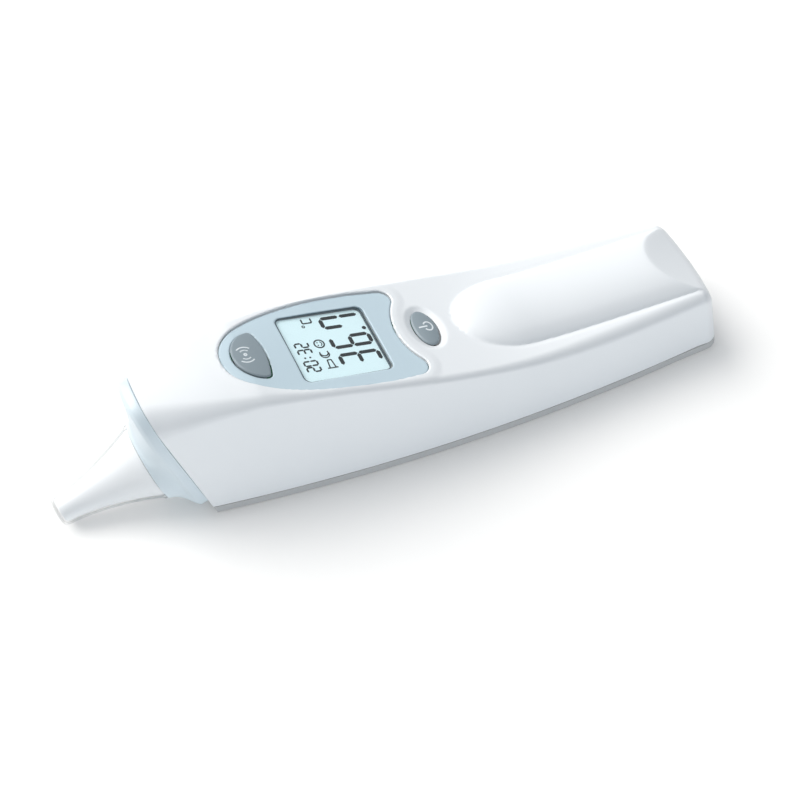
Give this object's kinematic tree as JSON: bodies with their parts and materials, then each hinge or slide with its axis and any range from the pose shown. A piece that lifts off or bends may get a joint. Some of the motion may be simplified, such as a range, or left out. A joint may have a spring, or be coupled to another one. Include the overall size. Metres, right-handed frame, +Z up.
{
  "type": "digital ear thermometer",
  "caption": "Handheld infrared ear thermometer: domed head with slanted rim, flared probe under a clear cover, sloping display panel with two buttons, raised grip.",
  "frame": {"origin": "on the surface it lies on, under the middle of its overall length and width", "axes": "+X from the probe to the tail of the handle, +Z up out of the display side, +Y completing a right-handed frame"},
  "size_m": [0.1604, 0.0326, 0.0364],
  "materials": {
    "white_shell": "satin",
    "grey_shell": "satin",
    "blue_panel": "satin",
    "button_grey": "satin",
    "clear_plastic": "clear",
    "collar_plastic": "translucent",
    "lcd_glass": "polished",
    "inner_plastic": "moulded",
    "rubber": "matte",
    "board_green": "lacquered",
    "chip_black": "moulded",
    "steel": "bright",
    "gold": "gilded",
    "cell_wrap": "printed wrap"
  },
  "bodies": {
    "casing": {"upper_housing": "white_shell", "lower_housing": "grey_shell", "housing_screw_1": "steel", "housing_screw_2": "steel", "housing_screw_3": "steel", "housing_screw_4": "steel", "display_panel": "blue_panel", "lcd_window": "clear_plastic", "lcd_glass": "lcd_glass", "lcd_frame": "inner_plastic", "lcd_contact_strip": "rubber", "main_board": "board_green", "controller_chip": "chip_black", "quartz_can": "steel", "buzzer": "chip_black", "start_switch": "chip_black", "power_switch": "chip_black", "probe_carrier": "inner_plastic", "probe_nose": "white_shell", "probe_window": "lcd_glass", "wave_guide": "gold", "thermopile_can": "steel", "sensor_block": "gold", "sensor_lead": "rubber", "battery_1": "cell_wrap", "battery_2": "cell_wrap", "contact_plate": "steel", "contact_spring": "steel", "contact_bridge": "steel"},
    "start_key": {"start_button": "button_grey", "start_stem": "inner_plastic"},
    "power_key": {"power_button": "button_grey", "power_stem": "inner_plastic"},
    "ejector": {"ejector_collar": "collar_plastic"},
    "cover": {"probe_cover": "clear_plastic"},
    "door": {"battery_door": "grey_shell"}
  },
  "joints": [
    {"name": "start_press", "type": "slide", "parent": "casing", "child": "start_key", "axis": [-0.2447, 0, -0.9696], "range_m": [0, 0.0005], "stiffness_N_per_m": 1500},
    {"name": "power_press", "type": "slide", "parent": "casing", "child": "power_key", "axis": [-0.2301, 0, -0.9732], "range_m": [0, 0.0005], "stiffness_N_per_m": 1500},
    {"name": "ejector_slide", "type": "slide", "parent": "casing", "child": "ejector", "axis": [-0.9449, 0, -0.3272], "range_m": [0, 0.003]},
    {"name": "cover_pull", "type": "slide", "parent": "ejector", "child": "cover", "axis": [-0.9449, 0, -0.3272], "range_m": [0, 0.03]},
    {"name": "battery_door_slide", "type": "slide", "parent": "casing", "child": "door", "axis": [1, 0, 0], "range_m": [0, 0.062]}
  ]
}
